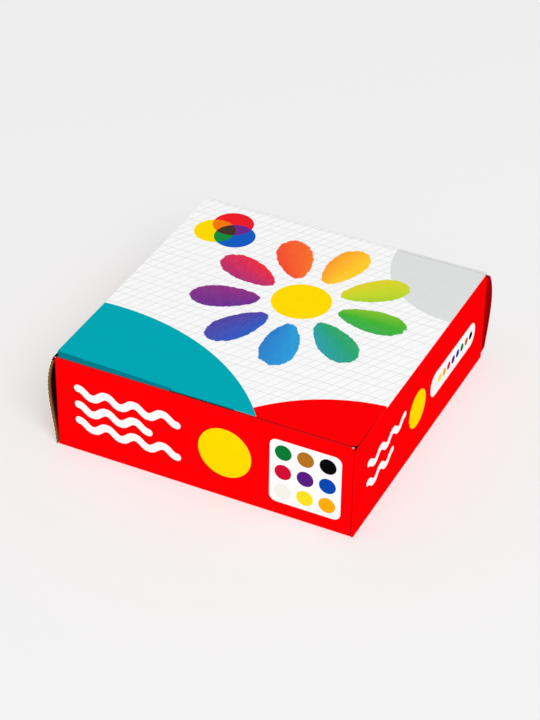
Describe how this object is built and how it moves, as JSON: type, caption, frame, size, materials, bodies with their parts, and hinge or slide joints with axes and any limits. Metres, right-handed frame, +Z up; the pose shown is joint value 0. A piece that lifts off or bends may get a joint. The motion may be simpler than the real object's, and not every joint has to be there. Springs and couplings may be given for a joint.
{
  "type": "gouache paint box",
  "caption": "Flat square printed carton with a hinged tuck-in lid and double side walls, holding screw-cap pots of gouache paint in a square grid.",
  "frame": {"origin": "middle of the underside of the base panel, on the table", "axes": "+X to the right along the front wall, +Y towards the hinge at the back, +Z up"},
  "size_m": [0.1293, 0.1333, 0.0416],
  "materials": {
    "printed_board_red": "satin",
    "kraft_board": "matte",
    "printed_board_white": "satin",
    "printed_board_teal": "satin",
    "clear_pot": "gloss",
    "white_cap": "satin",
    "foam_seal": "matte",
    "paint_white": "satin",
    "paint_lemon": "satin",
    "paint_golden": "satin",
    "paint_crimson": "satin",
    "paint_violet": "satin",
    "paint_blue": "satin",
    "paint_green": "satin",
    "paint_ochre": "satin",
    "paint_black": "satin"
  },
  "bodies": {
    "tray": {"front_wall": "printed_board_red", "back_wall": "printed_board_red", "left_outer_wall": "printed_board_red", "right_outer_wall": "printed_board_red", "left_roll_over": "printed_board_red", "right_roll_over": "printed_board_red", "front_left_corner_flap": "printed_board_red", "front_right_corner_flap": "printed_board_red", "back_left_corner_flap": "printed_board_red", "back_right_corner_flap": "printed_board_red", "base_panel": "kraft_board", "left_inner_wall": "kraft_board", "right_inner_wall": "kraft_board", "jar_1": "clear_pot", "paint_1": "paint_white", "band_1": "white_cap", "jar_2": "clear_pot", "paint_2": "paint_lemon", "band_2": "white_cap", "jar_3": "clear_pot", "paint_3": "paint_golden", "band_3": "white_cap", "jar_4": "clear_pot", "paint_4": "paint_crimson", "band_4": "white_cap", "jar_5": "clear_pot", "paint_5": "paint_violet", "band_5": "white_cap", "jar_6": "clear_pot", "paint_6": "paint_blue", "band_6": "white_cap", "jar_7": "clear_pot", "paint_7": "paint_green", "band_7": "white_cap", "jar_8": "clear_pot", "paint_8": "paint_ochre", "band_8": "white_cap", "jar_9": "clear_pot", "paint_9": "paint_black", "band_9": "white_cap"},
    "lid": {"lid_panel": "printed_board_white"},
    "tuck": {"tuck_flap": "printed_board_teal"},
    "seal_body_1": {"seal_1": "foam_seal"},
    "cap_body_1": {"cap_1": "white_cap"},
    "seal_body_2": {"seal_2": "foam_seal"},
    "cap_body_2": {"cap_2": "white_cap"},
    "seal_body_3": {"seal_3": "foam_seal"},
    "cap_body_3": {"cap_3": "white_cap"},
    "seal_body_4": {"seal_4": "foam_seal"},
    "cap_body_4": {"cap_4": "white_cap"},
    "seal_body_5": {"seal_5": "foam_seal"},
    "cap_body_5": {"cap_5": "white_cap"},
    "seal_body_6": {"seal_6": "foam_seal"},
    "cap_body_6": {"cap_6": "white_cap"},
    "seal_body_7": {"seal_7": "foam_seal"},
    "cap_body_7": {"cap_7": "white_cap"},
    "seal_body_8": {"seal_8": "foam_seal"},
    "cap_body_8": {"cap_8": "white_cap"},
    "seal_body_9": {"seal_9": "foam_seal"},
    "cap_body_9": {"cap_9": "white_cap"}
  },
  "joints": [
    {"name": "lid_hinge", "type": "hinge", "parent": "tray", "child": "lid", "pos_m": [0, 0.0634, 0.0411], "axis": [-1, 0, 0], "range_deg": [0, 150]},
    {"name": "tuck_fold", "type": "hinge", "parent": "lid", "child": "tuck", "pos_m": [0, -0.0619, 0.0411], "axis": [-1, 0, 0], "range_deg": [0, 61]},
    {"name": "cap_rise_1", "type": "slide", "parent": "tray", "child": "seal_body_1", "axis": [0, 0, 1], "range_m": [0, 0.00252]},
    {"name": "cap_turn_1", "type": "hinge", "parent": "seal_body_1", "child": "cap_body_1", "pos_m": [-0.03945, -0.0381, 0.0364], "axis": [0, 0, 1], "range_deg": [0, 450]},
    {"name": "cap_rise_2", "type": "slide", "parent": "tray", "child": "seal_body_2", "axis": [0, 0, 1], "range_m": [0, 0.00252]},
    {"name": "cap_turn_2", "type": "hinge", "parent": "seal_body_2", "child": "cap_body_2", "pos_m": [0, -0.0381, 0.0364], "axis": [0, 0, 1], "range_deg": [0, 450]},
    {"name": "cap_rise_3", "type": "slide", "parent": "tray", "child": "seal_body_3", "axis": [0, 0, 1], "range_m": [0, 0.00252]},
    {"name": "cap_turn_3", "type": "hinge", "parent": "seal_body_3", "child": "cap_body_3", "pos_m": [0.03945, -0.0381, 0.0364], "axis": [0, 0, 1], "range_deg": [0, 450]},
    {"name": "cap_rise_4", "type": "slide", "parent": "tray", "child": "seal_body_4", "axis": [0, 0, 1], "range_m": [0, 0.00252]},
    {"name": "cap_turn_4", "type": "hinge", "parent": "seal_body_4", "child": "cap_body_4", "pos_m": [-0.03945, 0.002, 0.0364], "axis": [0, 0, 1], "range_deg": [0, 450]},
    {"name": "cap_rise_5", "type": "slide", "parent": "tray", "child": "seal_body_5", "axis": [0, 0, 1], "range_m": [0, 0.00252]},
    {"name": "cap_turn_5", "type": "hinge", "parent": "seal_body_5", "child": "cap_body_5", "pos_m": [0, 0.002, 0.0364], "axis": [0, 0, 1], "range_deg": [0, 450]},
    {"name": "cap_rise_6", "type": "slide", "parent": "tray", "child": "seal_body_6", "axis": [0, 0, 1], "range_m": [0, 0.00252]},
    {"name": "cap_turn_6", "type": "hinge", "parent": "seal_body_6", "child": "cap_body_6", "pos_m": [0.03945, 0.002, 0.0364], "axis": [0, 0, 1], "range_deg": [0, 450]},
    {"name": "cap_rise_7", "type": "slide", "parent": "tray", "child": "seal_body_7", "axis": [0, 0, 1], "range_m": [0, 0.00252]},
    {"name": "cap_turn_7", "type": "hinge", "parent": "seal_body_7", "child": "cap_body_7", "pos_m": [-0.03945, 0.0421, 0.0364], "axis": [0, 0, 1], "range_deg": [0, 450]},
    {"name": "cap_rise_8", "type": "slide", "parent": "tray", "child": "seal_body_8", "axis": [0, 0, 1], "range_m": [0, 0.00252]},
    {"name": "cap_turn_8", "type": "hinge", "parent": "seal_body_8", "child": "cap_body_8", "pos_m": [0, 0.0421, 0.0364], "axis": [0, 0, 1], "range_deg": [0, 450]},
    {"name": "cap_rise_9", "type": "slide", "parent": "tray", "child": "seal_body_9", "axis": [0, 0, 1], "range_m": [0, 0.00252]},
    {"name": "cap_turn_9", "type": "hinge", "parent": "seal_body_9", "child": "cap_body_9", "pos_m": [0.03945, 0.0421, 0.0364], "axis": [0, 0, 1], "range_deg": [0, 450]}
  ],
  "couplings": [
    {"joint": "tuck_fold", "follows": "lid_hinge", "ratio": 0.4},
    {"joint": "cap_rise_1", "follows": "cap_turn_1", "m_per_rad": 0.00031831},
    {"joint": "cap_rise_2", "follows": "cap_turn_2", "m_per_rad": 0.00031831},
    {"joint": "cap_rise_3", "follows": "cap_turn_3", "m_per_rad": 0.00031831},
    {"joint": "cap_rise_4", "follows": "cap_turn_4", "m_per_rad": 0.00031831},
    {"joint": "cap_rise_5", "follows": "cap_turn_5", "m_per_rad": 0.00031831},
    {"joint": "cap_rise_6", "follows": "cap_turn_6", "m_per_rad": 0.00031831},
    {"joint": "cap_rise_7", "follows": "cap_turn_7", "m_per_rad": 0.00031831},
    {"joint": "cap_rise_8", "follows": "cap_turn_8", "m_per_rad": 0.00031831},
    {"joint": "cap_rise_9", "follows": "cap_turn_9", "m_per_rad": 0.00031831}
  ]
}
